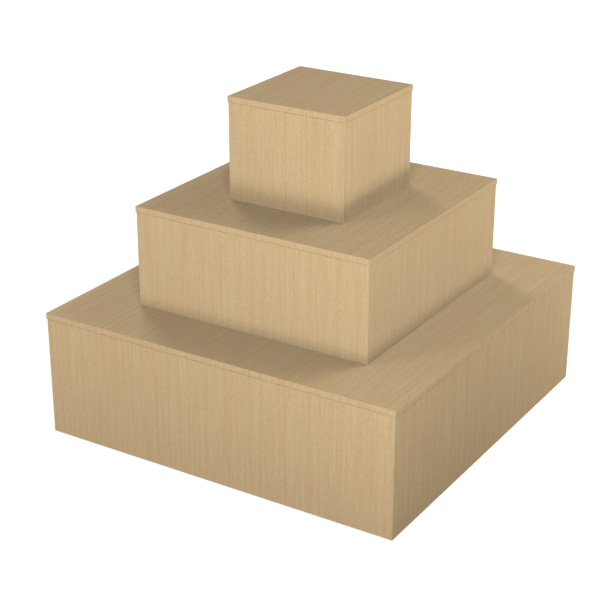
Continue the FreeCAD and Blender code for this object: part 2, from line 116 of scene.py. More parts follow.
def upright_axis(low: Vector, high: Vector, height: float) -> Vector:
    """Find the point of a solid's upright axis that is at a height.

    Args:
        low: The solid's lowest corner.
        high: Its highest corner.
        height: The height.

    Returns:
        The point.
    """
    return Vector(((low.x + high.x) / 2, (low.y + high.y) / 2, height))


def solids_of(node: str) -> list[Box]:
    """Find the separate solids of a grouped node.

    Args:
        node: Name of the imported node.

    Returns:
        The lowest and highest corner of each solid, in order of place.
    """
    piece = Workpiece(bpy.data.objects.new("solids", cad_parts[node].data.copy()))
    bpy.context.scene.collection.objects.link(piece.thing)
    with piece.editing(Part.VERTS, whole=True):
        bpy.ops.mesh.remove_doubles(threshold=HAIR)
        bpy.ops.mesh.separate(type="LOOSE")
    boxes = []
    for solid in list(bpy.context.selected_objects):
        places = [vertex.co for vertex in solid.data.vertices]
        low = Vector(min(place[axis] for place in places) for axis in range(3))
        high = Vector(max(place[axis] for place in places) for axis in range(3))
        boxes.append((low, high))
        bpy.data.objects.remove(solid)
    return sorted(boxes, key=lambda box: tuple(box[0]))


class Workpiece:
    """One mesh on the bench: started from a primitive, then shaped in edit mode."""

    def __init__(self, thing: bpy.types.Object) -> None:
        """Take an object in hand."""
        self.thing = thing

    @classmethod
    def started(cls, name: str) -> "Workpiece":
        """Name the primitive that was just added, and fix its place in its mesh.

        Args:
            name: Name of the piece.

        Returns:
            The new piece.
        """
        piece = cls(bpy.context.object)
        piece.thing.name = name
        piece.thing.data.name = name
        piece.settle()
        return piece

    @classmethod
    def block(cls, name: str, low: Vector, high: Vector) -> "Workpiece":
        """Start from a rectangular block.

        Args:
            name: Name of the piece.
            low: Its lowest corner.
            high: Its highest corner.

        Returns:
            The new piece.
        """
        bpy.ops.mesh.primitive_cube_add(size=1, location=(low + high) / 2, scale=high - low)
        return cls.started(name)

    @classmethod
    def turned(cls, name: str, axis: Vector, rings: Sequence[Ring], sides: int,
               bored: bool = False) -> "Workpiece":
        """Turn a piece on a lathe, by growing one ring out of another.

        Args:
            name: Name of the piece.
            axis: A point on the upright axis; ring heights count from it.
            rings: Radius and height of each ring of the outline in order.
            sides: Faces round the piece.
            bored: True closes the outline on itself, and False caps its two ends.

        Returns:
            The new piece.
        """
        radius, height = rings[0]
        place = axis + Vector((0, 0, height))
        bpy.ops.mesh.primitive_circle_add(vertices=sides, radius=radius, location=place,
                                          rotation=(0, 0, QUARTER))
        piece = cls.started(name)
        with piece.editing(Part.EDGES, whole=True):
            for next_radius, next_height in rings[1:] + ([rings[0]] if bored else []):
                rise = (0, 0, next_height - height)
                bpy.ops.mesh.extrude_edges_move(TRANSFORM_OT_translate={"value": rise})
                swell = next_radius / radius
                bpy.ops.transform.resize(value=(swell, swell, 1), center_override=axis)
                radius, height = next_radius, next_height
            bpy.ops.mesh.select_all(action="SELECT")
            if bored:
                bpy.ops.mesh.remove_doubles(threshold=HAIR)
            else:
                bpy.ops.mesh.fill_holes(sides=0)
        piece.face_outwards()
        return piece

    @classmethod
    def threaded(cls, name: str, axis: Vector, core: float, crest: float, pitch: float,
                 length: float, sides: int) -> "Workpiece":
        """Cut a right-hand thread up from a point.

        Args:
            name: Name of the piece.
            axis: Lower end of the thread on its upright axis.
            core: Radius at the root of the thread.
            crest: Radius at its crest.
            pitch: Rise in one turn.
            length: Length of the threaded rod.
            sides: Faces in one turn.

        Returns:
            The new piece, capped at both ends.
        """
        start = Vector((core, 0, -pitch))
        bpy.ops.mesh.primitive_plane_add(size=pitch, location=start)
        piece = cls.started(name)
        depth = crest - core
        root, rise, flat, fall = (0, 0.2), (depth, 0.25), (0, 0.15), (-depth, 0.4)
        with piece.editing(Part.VERTS, whole=True):
            bpy.ops.mesh.merge(type="CENTER")
            for out, share in (root, rise, flat, fall):
                step = (out, 0, share * pitch)
                bpy.ops.mesh.extrude_vertices_move(TRANSFORM_OT_translate={"value": step})
        turns = math.ceil(length / pitch) + 2
        piece.modify("SCREW", angle=2 * math.pi, screw_offset=pitch, iterations=turns,
                     steps=sides, render_steps=sides, use_merge_vertices=True,
                     merge_threshold=HAIR)
        with piece.editing(Part.VERTS, whole=True):
            bpy.ops.mesh.remove_doubles(threshold=HAIR)
        piece.slice(Vector((0, 0, 0)), Vector((0, 0, -1)), drop=True)
        piece.slice(Vector((0, 0, length)), Vector((0, 0, 1)), drop=True)
        piece.face_outwards()
        piece.thing.location = axis
        piece.settle()
        return piece

    @classmethod
    def joined(cls, name: str, pieces: Sequence["Workpiece"]) -> "Workpiece":
        """Make one piece of several.

        Args:
            name: Name of the joined piece.
            pieces: The pieces, which go into it.

        Returns:
            The joined piece.
        """
        bpy.ops.object.select_all(action="DESELECT")
        for piece in pieces:
            piece.thing.select_set(True)
        bpy.context.view_layer.objects.active = pieces[0].thing
        bpy.ops.object.join()
        return cls.started(name)

    def take(self) -> None:
        """Select this piece alone."""
        bpy.ops.object.select_all(action="DESELECT")
        self.thing.select_set(True)
        bpy.context.view_layer.objects.active = self.thing

    def settle(self) -> None:
        """Move the piece's place, turn and size into its mesh."""
        self.take()
        bpy.ops.object.transform_apply(location=True, rotation=True, scale=True)

    @contextmanager
    def editing(self, part: Part, whole: bool = False) -> Iterator[None]:
        """Open the piece in edit mode, and close it after the work.

        Args:
            part: What is to be selected.
            whole: True starts with all of the piece selected, and False with none of it.

        Yields:
            Nothing; the work is done inside.
        """
        self.take()
        bpy.ops.object.mode_set(mode="EDIT")
        bpy.ops.mesh.select_mode(type=part.value[:-1].upper())
        bpy.ops.mesh.select_all(action="SELECT" if whole else "DESELECT")
        yield
        bpy.ops.object.mode_set(mode="OBJECT")

    def pick(self, part: Part, wanted: Callable[[Element], bool]) -> None:
        """Select what a rule wants, in edit mode.

        Args:
            part: Whether the rule is for vertices, edges or faces.
            wanted: The rule.
        """
        mesh = bmesh.from_edit_mesh(self.thing.data)
        mesh.normal_update()
        for element in getattr(mesh, part.value):
            element.select_set(wanted(element))
        mesh.select_flush_mode()
        bmesh.update_edit_mesh(self.thing.data)

    def slice(self, point: Vector, normal: Vector, drop: bool = False) -> None:
        """Cut through the piece with a plane.

        Args:
            point: A point of the plane.
            normal: The plane's direction.
            drop: True drops what lies beyond the plane and closes the cut.
        """
        with self.editing(Part.FACES, whole=True):
            bpy.ops.mesh.bisect(plane_co=point, plane_no=normal, use_fill=drop,
                                clear_outer=drop, threshold=HAIR)

    def ease(self, width: float, rounds: int, along: Rule) -> None:
        """Ease the sharp edges that a rule wants.

        Args:
            width: Width taken off each face.
            rounds: Faces in the rounding, 1 for a flat chamfer.
            along: The rule for an edge's middle.
        """

        def wanted(edge: bmesh.types.BMEdge) -> bool:
            """Tell whether an edge is sharp and lies where the rule wants.

            Args:
                edge: The edge.

            Returns:
                True for an edge that is to be eased.
            """
            middle = (edge.verts[0].co + edge.verts[1].co) / 2
            sharp = edge.is_manifold and edge.calc_face_angle() > SHARP
            return sharp and along(middle)

        with self.editing(Part.EDGES):
            self.pick(Part.EDGES, wanted)
            bpy.ops.mesh.bevel(offset=width, segments=rounds, affect="EDGES")

    def modify(self, kind: str, **settings: object) -> None:
        """Put a modifier on the piece and apply it.

        Args:
            kind: Blender's name of the modifier.
            settings: The modifier's own properties.
        """
        modifier = self.thing.modifiers.new(kind, kind)
        for name, value in settings.items():
            setattr(modifier, name, value)
        self.take()
        bpy.ops.object.modifier_apply(modifier=modifier.name)

    def cut(self, cutter: "Workpiece") -> None:
        """Take the cutter's shape out of the piece, and put the cutter away."""
        self.modify("BOOLEAN", object=cutter.thing, operation="DIFFERENCE", solver="EXACT")
        bpy.data.objects.remove(cutter.thing)

    def face_outwards(self) -> None:
        """Turn every face's normal out of the solid."""
        with self.editing(Part.FACES, whole=True):
            bpy.ops.mesh.normals_make_consistent(inside=False)

    def copy(self, name: str, move: Matrix) -> "Workpiece":
        """Make another like it, with a mesh of its own.

        Args:
            name: Name of the copy.
            move: Where it goes, from this piece's place.

        Returns:
            The copy.
        """
        thing = bpy.data.objects.new(name, self.thing.data.copy())
        bpy.context.scene.collection.objects.link(thing)
        thing.data.name = name
        thing.matrix_world = move
        other = Workpiece(thing)
        other.settle()
        return other

    def smooth(self, angle: float = CRISP) -> None:
        """Shade faces smooth where they meet at less than an angle in degrees.

        Args:
            angle: The angle.
        """
        self.take()
        bpy.ops.object.shade_smooth_by_angle(angle=math.radians(angle))
        self.modify("WEIGHTED_NORMAL", keep_sharp=True)

    def dress(self, finishes: Sequence["Finish"], choice: Callable[[Vector], int]) -> None:
        """Give the faces their finishes.

        Args:
            finishes: The finishes on the piece.
            choice: Which of them a face has, from its centre.
        """
        slots = self.thing.data.materials
        slots.clear()
        for finish in finishes:
            slots.append(finish.material())
        for face in self.thing.data.polygons:
            face.material_index = choice(face.center)

    def coat(self, finish: "Finish") -> None:
        """Give the whole piece one finish."""
        self.dress([finish], lambda centre: 0)

    def install(self, body: str, slot: str, *nodes: str) -> None:
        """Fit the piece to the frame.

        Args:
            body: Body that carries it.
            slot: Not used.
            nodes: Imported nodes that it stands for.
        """
        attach(self.thing, body)
        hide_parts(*nodes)
        log.info("%s: %d faces on %s", self.thing.name, len(self.thing.data.polygons), body)


# Finishes


class NodeSheet:
    """Places shader nodes in one tree and joins their sockets."""

    def __init__(self, tree: bpy.types.NodeTree) -> None:
        """Open a tree to work on."""
        self.tree = tree

    def add(self, kind: str, feeds: Optional[dict] = None, **settings: object) -> bpy.types.Node:
        """Place a node.

        Args:
            kind: Blender's name of the node type.
            feeds: What each named or numbered input follows, or its own value.
            settings: The node's own properties.

        Returns:
            The new node.
        """
        node = self.tree.nodes.new(kind)
        for name, value in settings.items():
            setattr(node, name, value)
        for name, source in (feeds or {}).items():
            self.feed(node.inputs[name], source)
        return node

    def feed(self, socket: bpy.types.NodeSocket, source: Source) -> None:
        """Join a socket to another, or set its value.

        Args:
            socket: The input.
            source: An output to follow, a number, or a colour or vector.
        """
        if isinstance(source, bpy.types.NodeSocket):
            self.tree.links.new(source, socket)
        elif socket.type == "RGBA":
            socket.default_value = (*source, 1.0)
        else:
            socket.default_value = source

    def math(self, operation: str, *terms: Source) -> bpy.types.NodeSocket:
        """Work out one operation on numbers.

        Args:
            operation: Blender's name of the operation.
            terms: Its inputs in order.

        Returns:
            The result.
        """
        return self.add("ShaderNodeMath", dict(enumerate(terms)), operation=operation).outputs[0]

    def sized(self, vector: Source, across: Source, along: Source) -> bpy.types.NodeSocket:
        """Divide a place by one size across the grain and another along it.

        Args:
            vector: The place, with the grain along Z.
            across: Size across the grain.
            along: Size along the grain.

        Returns:
            The place in those units.
        """
        size = self.add("ShaderNodeCombineXYZ", {0: across, 1: across, 2: along}).outputs[0]
        feeds = {0: vector, 1: size}
        return self.add("ShaderNodeVectorMath", feeds, operation="DIVIDE").outputs[0]

    def noise(self, vector: Source, across: Source, along: Source,
              detail: float = 0.0) -> bpy.types.NodeSocket:
        """Lay soft noise about a half.

        Args:
            vector: The place, with the grain along Z.
            across: Size of a lump across the grain.
            along: Its size along the grain.
            detail: Octaves of finer noise on top.

        Returns:
            The noise.
        """
        feeds = {"Vector": self.sized(vector, across, along), "Scale": 1.0, "Detail": detail}
        return self.add("ShaderNodeTexNoise", feeds).outputs[0]

    def spread(self, value: Source, low: float, high: float, first: float = 0.0,
               last: float = 1.0) -> bpy.types.NodeSocket:
        """Spread a range of values over another, held at both ends.

        Args:
            value: The value to spread.
            low: Value that gives the first result.
            high: Value that gives the last result.
            first: Result at the low value.
            last: Result at the high value.

        Returns:
            The result.
        """
        feeds = {0: value, 1: low, 2: high, 3: first, 4: last}
        return self.add("ShaderNodeMapRange", feeds).outputs[0]

    def blend(self, share: Source, first: Source, second: Source) -> bpy.types.NodeSocket:
        """Mix two colours.

        Args:
            share: How much of the second there is, from 0 to 1.
            first: Colour at 0.
            second: Colour at 1.

        Returns:
            The mixed colour.
        """
        node = self.add("ShaderNodeMix", data_type="RGBA")
        for number, source in ((0, share), (6, first), (7, second)):
            self.feed(node.inputs[number], source)
        return node.outputs[2]

    def place(self, run: GrainRun = GrainRun.UPRIGHT) -> bpy.types.NodeSocket:
        """Read the place on the table, turned so that the grain is along Z.

        Args:
            run: Which way the grain runs on the piece.

        Returns:
            The place.
        """
        here = self.add("ShaderNodeTexCoord").outputs["Object"]
        turn = [math.radians(angle) for angle in run.value]
        return self.add("ShaderNodeMapping", {"Vector": here, "Rotation": turn}).outputs[0]


class Effect:
    """A pattern that several finishes share, kept as a shader node group."""

    name: ClassVar[str]
    takes: ClassVar[dict[str, float]]
    gives: ClassVar[Sequence[str]]

    def wire(self, sheet: NodeSheet, source: bpy.types.Node, result: bpy.types.Node) -> None:
        """Fill the group between its input and output nodes."""
        raise NotImplementedError

    def group(self) -> bpy.types.NodeTree:
        """Make the group the first time, and give the same one after that.

        Returns:
            The group.
        """
        tree = bpy.data.node_groups.get(self.name)
        if tree:
            return tree
        tree = bpy.data.node_groups.new(self.name, "ShaderNodeTree")
        tree.interface.new_socket("Vector", in_out="INPUT", socket_type="NodeSocketVector")
        for label, value in self.takes.items():
            socket = tree.interface.new_socket(label, in_out="INPUT",
                                               socket_type="NodeSocketFloat")
            socket.default_value = value
        for label in self.gives:
            tree.interface.new_socket(label, in_out="OUTPUT", socket_type="NodeSocketFloat")
        sheet = NodeSheet(tree)
        self.wire(sheet, sheet.add("NodeGroupInput"), sheet.add("NodeGroupOutput"))
        return tree

    def lay(self, sheet: NodeSheet, vector: Source,
            amounts: Optional[dict[str, float]] = None) -> bpy.types.Node:
        """Lay the pattern in a material.

        Args:
            sheet: The material's nodes.
            vector: The place that the pattern follows.
            amounts: Inputs that differ from their usual values.

        Returns:
            The group's node.
        """
        feeds = {"Vector": vector, **(amounts or {})}
        return sheet.add("ShaderNodeGroup", feeds, node_tree=self.group())


class StraightGrain(Effect):
    """Straight wood grain: broad soft streaks, narrow dashes, fine flecks and pores."""

    name = "straight_grain"
    middle: ClassVar[float] = 0.5
    streak_stretch: ClassVar[float] = 60.0
    pore_range: ClassVar[tuple[float, float]] = (0.6, 0.75)
    takes = {
        "Streak Width": 11 * MM,
        "Streaks": 1.0,
        "Dash Width": 2.6 * MM,
        "Dash Length": 150 * MM,
        "Dashes": 1.6,
        "Fleck Width": 1.6 * MM,
        "Fleck Length": 8 * MM,
        "Flecks": 2.4,
        "Pore Width": 0.5 * MM,
        "Pore Length": 9 * MM,
    }
    gives = ("Tone", "Pores")

    def wire(self, sheet: NodeSheet, source: bpy.types.Node, result: bpy.types.Node) -> None:
        """Add the layers about a middle tone, and pick out the pores.

        Args:
            sheet: The group's nodes.
            source: Its input node.
            result: Its output node.
        """
        given = source.outputs
        streak_length = sheet.math("MULTIPLY", given["Streak Width"], self.streak_stretch)
        layers = (
            (given["Streak Width"], streak_length, given["Streaks"]),
            (given["Dash Width"], given["Dash Length"], given["Dashes"]),
            (given["Fleck Width"], given["Fleck Length"], given["Flecks"]),
        )
        tone: Source = self.middle
        for across, along, amount in layers:
            noise = sheet.noise(given["Vector"], across, along)
            swing = sheet.math("SUBTRACT", noise, self.middle)
            tone = sheet.math("MULTIPLY_ADD", swing, amount, tone)
        pores = sheet.noise(given["Vector"], given["Pore Width"], given["Pore Length"])
        sheet.feed(result.inputs["Tone"], tone)
        sheet.feed(result.inputs["Pores"], sheet.spread(pores, *self.pore_range))


class PressedChips(Effect):
    """Wood chips pressed flat in a board."""

    name = "pressed_chips"
    takes = {"Chip Width": 0.9 * MM, "Chip Length": 2.2 * MM}
    gives = ("Tone", "Height")

    def wire(self, sheet: NodeSheet, source: bpy.types.Node, result: bpy.types.Node) -> None:
        """Give each chip a tone of its own, and sink the joints between them.

        Args:
            sheet: The group's nodes.
            source: Its input node.
            result: Its output node.
        """
        given = source.outputs
        place = sheet.sized(given["Vector"], given["Chip Length"], given["Chip Width"])
        cells = sheet.add("ShaderNodeTexVoronoi", {"Vector": place, "Scale": 1.0})
        tone = sheet.add("ShaderNodeSeparateColor", {0: cells.outputs["Color"]}).outputs[0]
        sheet.feed(result.inputs["Tone"], tone)
        sheet.feed(result.inputs["Height"], sheet.math("SUBTRACT", 1.0, cells.outputs[0]))


class HandlingMarks(Effect):
    """Soft cloudy patches and faint rubbed lines, as cleaning and handling leave."""

    name = "handling_marks"
    line_share: ClassVar[float] = 0.4
    mark_range: ClassVar[tuple[float, float]] = (0.3, 0.7)
    takes = {"Cloud Size": 60 * MM, "Line Width": 0.8 * MM, "Line Length": 40 * MM}
    gives = ("Marks",)

    def wire(self, sheet: NodeSheet, source: bpy.types.Node, result: bpy.types.Node) -> None:
        """Lay the lines over the clouds.

        Args:
            sheet: The group's nodes.
            source: Its input node.
            result: Its output node.
        """
        given = source.outputs
        cloud = given["Cloud Size"]
        clouds = sheet.noise(given["Vector"], cloud, cloud, detail=2.0)
        lines = sheet.noise(given["Vector"], given["Line Width"], given["Line Length"])
        under = sheet.math("MULTIPLY", clouds, 1 - self.line_share)
        mixed = sheet.math("MULTIPLY_ADD", lines, self.line_share, under)
        sheet.feed(result.inputs["Marks"], sheet.spread(mixed, *self.mark_range))


@dataclass(frozen=True)
class Finish:
    """A surface finish: its name, its colours, and how rough and shiny it is."""

    made: ClassVar[dict[str, bpy.types.Material]] = {}

    name: str
    light: Colour
    dark: Colour
    smoothest: float
    roughest: float
    shine: float = 0.5

    def material(self) -> bpy.types.Material:
        """Make the material the first time, and give the same one after that.

        Returns:
            The material.
        """
        if self.name in self.made:
            return self.made[self.name]
        material = bpy.data.materials.new(self.name)
        material.use_nodes = True
        sheet = NodeSheet(material.node_tree)
        sheet.tree.nodes.clear()
        shader = sheet.add("ShaderNodeBsdfPrincipled", {"Specular IOR Level": self.shine})
        sheet.add("ShaderNodeOutputMaterial", {"Surface": shader.outputs["BSDF"]})
        self.paint(sheet, shader)
        self.made[self.name] = material
        return material

    def paint(self, sheet: NodeSheet, shader: bpy.types.Node) -> None:
        """Lay the finish's patterns and feed them to the shader."""
        raise NotImplementedError

    def rub(self, sheet: NodeSheet, shader: bpy.types.Node, place: Source,
            amounts: Optional[dict[str, float]] = None) -> None:
        """Vary the roughness with handling marks.

        Args:
            sheet: The material's nodes.
            shader: The shader to feed.
            place: Place on the piece.
            amounts: Sizes of the marks, where they differ from the usual ones.
        """
        marks = HandlingMarks().lay(sheet, place, amounts).outputs["Marks"]
        roughness = sheet.spread(marks, 0.0, 1.0, self.smoothest, self.roughest)
        sheet.feed(shader.inputs["Roughness"], roughness)

    def emboss(self, sheet: NodeSheet, shader: bpy.types.Node, height: Source,
               depth: float) -> None:
        """Raise and sink the surface.

        Args:
            sheet: The material's nodes.
            shader: The shader to feed.
            height: Height from 0 to 1.
            depth: What a height of 1 stands for.
        """
        bump = sheet.add("ShaderNodeBump", {"Height": height, "Distance": depth})
        sheet.feed(shader.inputs["Normal"], bump.outputs["Normal"])


@dataclass(frozen=True)
class WoodFinish(Finish):
    """Wood, or a print of it, with a straight grain."""

    run: GrainRun = GrainRun.UPRIGHT
    pore_colour: Colour = (0.35, 0.2, 0.09)
    pore_depth: float = 0.05 * MM
    pore_share: float = 0.25
    grain: dict[str, float] = field(default_factory=dict)
    lent: Optional[Colour] = None

    def wood(self, sheet: NodeSheet) -> tuple[bpy.types.NodeSocket, bpy.types.NodeSocket]:
        """Lay the grain.

        Args:
            sheet: The material's nodes.

        Returns:
            The wood's colour and its pores.
        """
        grain = StraightGrain().lay(sheet, sheet.place(self.run), self.grain)
        plain = sheet.blend(grain.outputs["Tone"], self.dark, self.light)
        pores = grain.outputs["Pores"]
        share = sheet.math("MULTIPLY", pores, self.pore_share)
        return sheet.blend(share, plain, self.pore_colour), pores

    def lend(self, sheet: NodeSheet, colour: Source) -> Source:
        """Mute the colour that the surface lends its neighbours.

        Args:
            sheet: The material's nodes.
            colour: The surface's own colour.

        Returns:
            The colour for every kind of ray.
        """
        if self.lent is None:
            return colour
        bounced = sheet.add("ShaderNodeLightPath").outputs["Is Diffuse Ray"]
        return sheet.blend(bounced, colour, self.lent)

    def paint(self, sheet: NodeSheet, shader: bpy.types.Node) -> None:
        """Colour the wood and sink its pores.

        Args:
            sheet: The material's nodes.
            shader: The shader to feed.
        """
        colour, pores = self.wood(sheet)
        sheet.feed(shader.inputs["Base Color"], self.lend(sheet, colour))
        self.rub(sheet, shader, sheet.place(self.run))
        self.emboss(sheet, shader, sheet.math("SUBTRACT", 1.0, pores), self.pore_depth)


@dataclass(frozen=True)
class ChipFinish(Finish):
    """Raw chipboard, as its cut edges and ribs show it."""

    relief: float = 0.15 * MM

    def paint(self, sheet: NodeSheet, shader: bpy.types.Node) -> None:
        """Colour the chips and sink the joints between them.

        Args:
            sheet: The material's nodes.
            shader: The shader to feed.
        """
        chips = PressedChips().lay(sheet, sheet.place())
        colour = sheet.blend(chips.outputs["Tone"], self.dark, self.light)
        sheet.feed(shader.inputs["Base Color"], colour)
        self.rub(sheet, shader, sheet.place())
        self.emboss(sheet, shader, chips.outputs["Height"], self.relief)


CHIPS = ChipFinish("chip_core", (0.47, 0.31, 0.16), (0.31, 0.19, 0.09), 0.75, 0.95, 0.2)


@dataclass(frozen=True)
class BoardFinish(WoodFinish):
    """A flat board: laminate on both faces, and a chip core where a hole cuts it."""

    core: ChipFinish = CHIPS
    underside: float = 0.0
    face: float = 0.0
    laminate: float = 0.8 * MM

    def wood(self, sheet: NodeSheet) -> tuple[bpy.types.NodeSocket, bpy.types.NodeSocket]:
        """Lay the grain, and show the core between the two laminates.

        Args:
            sheet: The material's nodes.

        Returns:
            The board's colour and its pores.
        """
        colour, pores = super().wood(sheet)
        place = sheet.place()
        chips = PressedChips().lay(sheet, place).outputs["Tone"]
        chip_colour = sheet.blend(chips, self.core.dark, self.core.light)
        height = sheet.add("ShaderNodeSeparateXYZ", {0: place}).outputs[2]
        above = sheet.math("GREATER_THAN", height, self.underside + self.laminate)
        below = sheet.math("LESS_THAN", height, self.face - self.laminate)
        inside = sheet.math("MULTIPLY", above, below)
        return sheet.blend(inside, colour, chip_colour), pores


@dataclass(frozen=True)
class MetalFinish(Finish):
    """Plated or plain metal, a little uneven in colour and polish."""

    patch: float = 6 * MM
    patch_range: tuple[float, float] = (0.35, 0.65)
    line_width: float = 0.15 * MM
    line_length: float = 2 * MM
    relief: float = 0.01 * MM

    def paint(self, sheet: NodeSheet, shader: bpy.types.Node) -> None:
        """Cloud the metal and lay fine tool lines on it.

        Args:
            sheet: The material's nodes.
            shader: The shader to feed.
        """
        place = sheet.place()
        clouds = sheet.noise(place, self.patch, self.patch, detail=3.0)
        share = sheet.spread(clouds, *self.patch_range)
        sheet.feed(shader.inputs["Base Color"], sheet.blend(share, self.dark, self.light))
        sheet.feed(shader.inputs["Metallic"], 1.0)
        sizes = {"Cloud Size": self.patch, "Line Width": self.line_width,
                 "Line Length": self.line_length}
        self.rub(sheet, shader, place, sizes)
        self.emboss(sheet, shader, clouds, self.relief)


@dataclass(frozen=True)
class PlasticFinish(Finish):
    """Moulded plastic with a fine spark-eroded texture."""

    cloud: float = 8 * MM
    mark: float = 12 * MM
    pebble: float = 0.35 * MM
    relief: float = 0.03 * MM

    def paint(self, sheet: NodeSheet, shader: bpy.types.Node) -> None:
        """Cloud the colour and raise the pebbles.

        Args:
            sheet: The material's nodes.
            shader: The shader to feed.
        """
        place = sheet.place()
        clouds = sheet.noise(place, self.cloud, self.cloud, detail=2.0)
        sheet.feed(shader.inputs["Base Color"], sheet.blend(clouds, self.dark, self.light))
        self.rub(sheet, shader, place, {"Cloud Size": self.mark})
        pebbles = sheet.noise(place, self.pebble, self.pebble, detail=1.0)
        self.emboss(sheet, shader, pebbles, self.relief)


LAMINATE_LIGHT = (0.686, 0.521, 0.297)
LAMINATE_DARK = (0.636, 0.437, 0.241)
LAMINATE_LENT = (0.06, 0.06, 0.06)
UPRIGHT_LAMINATE = WoodFinish("upright_laminate", LAMINATE_LIGHT, LAMINATE_DARK, 0.75, 0.9, 0.01,
                              lent=LAMINATE_LENT)
TOP_LAMINATE = BoardFinish("top_laminate", LAMINATE_LIGHT, LAMINATE_DARK, 0.75, 0.9, 0.01,
                           GrainRun.ALONG_Y, lent=LAMINATE_LENT)
BACKER = WoodFinish("backer_laminate", (0.60, 0.46, 0.28), (0.56, 0.42, 0.25), 0.6, 0.75, 0.2)
BANDING = replace(UPRIGHT_LAMINATE, name="edge_banding")
# The filed slant on each band's lower arris is real; its dark brown is painted shadow, the shade
# line under the band's overhang.
FILED_EDGE_PAINTED_SHADOW = WoodFinish("filed_edge_painted_shadow", (0.33, 0.24, 0.16), (0.26, 0.18, 0.12), 0.75, 0.9, 0.01,
                        GrainRun.ALONG_X)
BATTEN = WoodFinish(
    "softwood_batten", (0.72, 0.52, 0.29), (0.52, 0.32, 0.14), 0.65, 0.85, 0.25,
    grain={"Streak Width": 9 * MM, "Streaks": 2.2, "Dash Width": 1.5 * MM, "Dashes": 0.8})
BEECH = WoodFinish(
    "turned_beech", (0.62, 0.40, 0.20), (0.48, 0.28, 0.13), 0.45, 0.65, 0.35,
    grain={"Streak Width": 4 * MM, "Dash Width": 0.7 * MM, "Dash Length": 3 * MM})
ZINC = MetalFinish("zinc_plate", (0.66, 0.68, 0.70), (0.50, 0.53, 0.57), 0.25, 0.42)
BRASS = MetalFinish("satin_brass", (0.70, 0.50, 0.20), (0.55, 0.36, 0.13), 0.28, 0.45)
NYLON = PlasticFinish("black_nylon", (0.030, 0.030, 0.033), (0.016, 0.016, 0.018), 0.45, 0.6)


def coat_node(node: str, finish: Finish) -> None:
    """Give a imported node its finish.

    Args:
        node: Name of the node.
        finish: The finish.
    """
    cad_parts[node].material_slots[0].material = finish.material()
    log.info("%s: finished in %s", node, finish.name)


def fit_group(name: str, make: Callable[[Vector, Vector], Workpiece], finish: Finish,
              body: str, slot: str, node: str) -> None:
    """Make a piece in the place of each solid of a node, and fit them all as one.

    Args:
        name: Name of the joined piece.
        make: What makes one piece from its solid's lowest and highest corners.
        finish: The finish.
        body: Body that carries the pieces.
        slot: The record's slot of their finish.
        node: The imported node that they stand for.
    """
    group = Workpiece.joined(name, [make(low, high) for low, high in solids_of(node)])
    group.smooth(ROUNDED)
    group.coat(finish)
    group.install(body, slot, node)


# Sub-assemblies


@dataclass
class Carcass:
    """The box of a tier: four mitred side boards on battens and, in the larger tiers, ribs."""

    tier: str
    body: str
    ribbed: bool
    laminate: float = 0.8 * MM
    arris: float = 0.3 * MM
    housing_gap: float = 0.25 * MM

    def side_board(self) -> Workpiece:
        """Make the front board from its block.

        Returns:
            The mitred and grooved board, dressed.
        """
        node = f"{self.tier}_front_panel"
        low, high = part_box(node)
        core_depths = (low.y + self.laminate, high.y - self.laminate)
        board = Workpiece.block(node, low, high)
        for end in (-1, 1):
            board.slice(Vector((end * high.x, low.y, 0)), Vector((end, 1, 0)), drop=True)
        for depth in core_depths:
            board.slice(Vector((0, depth, 0)), Vector((0, 1, 0)))
        if self.ribbed:
            board.cut(self.housing(low, high))
        board.ease(self.arris, 1, lambda middle: middle.y < low.y + HAIR)

        def layer(centre: Vector) -> int:
            """Number the layer that a face belongs to."""
            return sum(centre.y > depth for depth in core_depths)

        board.dress([UPRIGHT_LAMINATE, CHIPS, BACKER], layer)
        return board

    def housing(self, low: Vector, high: Vector) -> Workpiece:
        """Make the cutter for the groove that takes a rib's end.

        Args:
            low: Lowest corner of the front board.
            high: Its highest corner.

        Returns:
            The cutter.
        """
        rib_low, rib_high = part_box(f"{self.tier}_rib_crosswise")
        half = rib_high.x + self.housing_gap
        floor = rib_low.y - self.housing_gap
        corner = Vector((half, high.y + MM, high.z + MM))
        return Workpiece.block("housing", Vector((-half, floor, low.z - MM)), corner)

    def side_boards(self) -> None:
        """Fit the front board, and its copies round the tier."""
        first = self.side_board()
        pieces = [first]
        for side in list(Side)[1:]:
            turn = Matrix.Rotation(side.value * QUARTER, 4, "Z")
            pieces.append(first.copy("side", turn))
        for side, piece in zip(Side, pieces):
            piece.thing.name = f"{self.tier}_{word(side)}_side_board"
            piece.install(self.body, "oak_laminate", f"{self.tier}_{word(side)}_panel")

    def battens(self) -> None:
        """Dress the corner posts, the cleats and the ribs."""
        for corner in Corner:
            coat_node(f"{self.tier}_post_{word(corner)}", BATTEN)
        if self.ribbed:
            for side in Side:
                run = GrainRun.ALONG_X if side in (Side.FRONT, Side.BACK) else GrainRun.ALONG_Y
                cleat = replace(BATTEN, name=f"{BATTEN.name}_{word(run)}", run=run)
                coat_node(f"{self.tier}_{word(side)}_cleat", cleat)
            for rib in ("lengthwise", "crosswise"):
                coat_node(f"{self.tier}_rib_{rib}", CHIPS)

    def build(self) -> None:
        """Make the tier's box."""
        self.side_boards()
        self.battens()


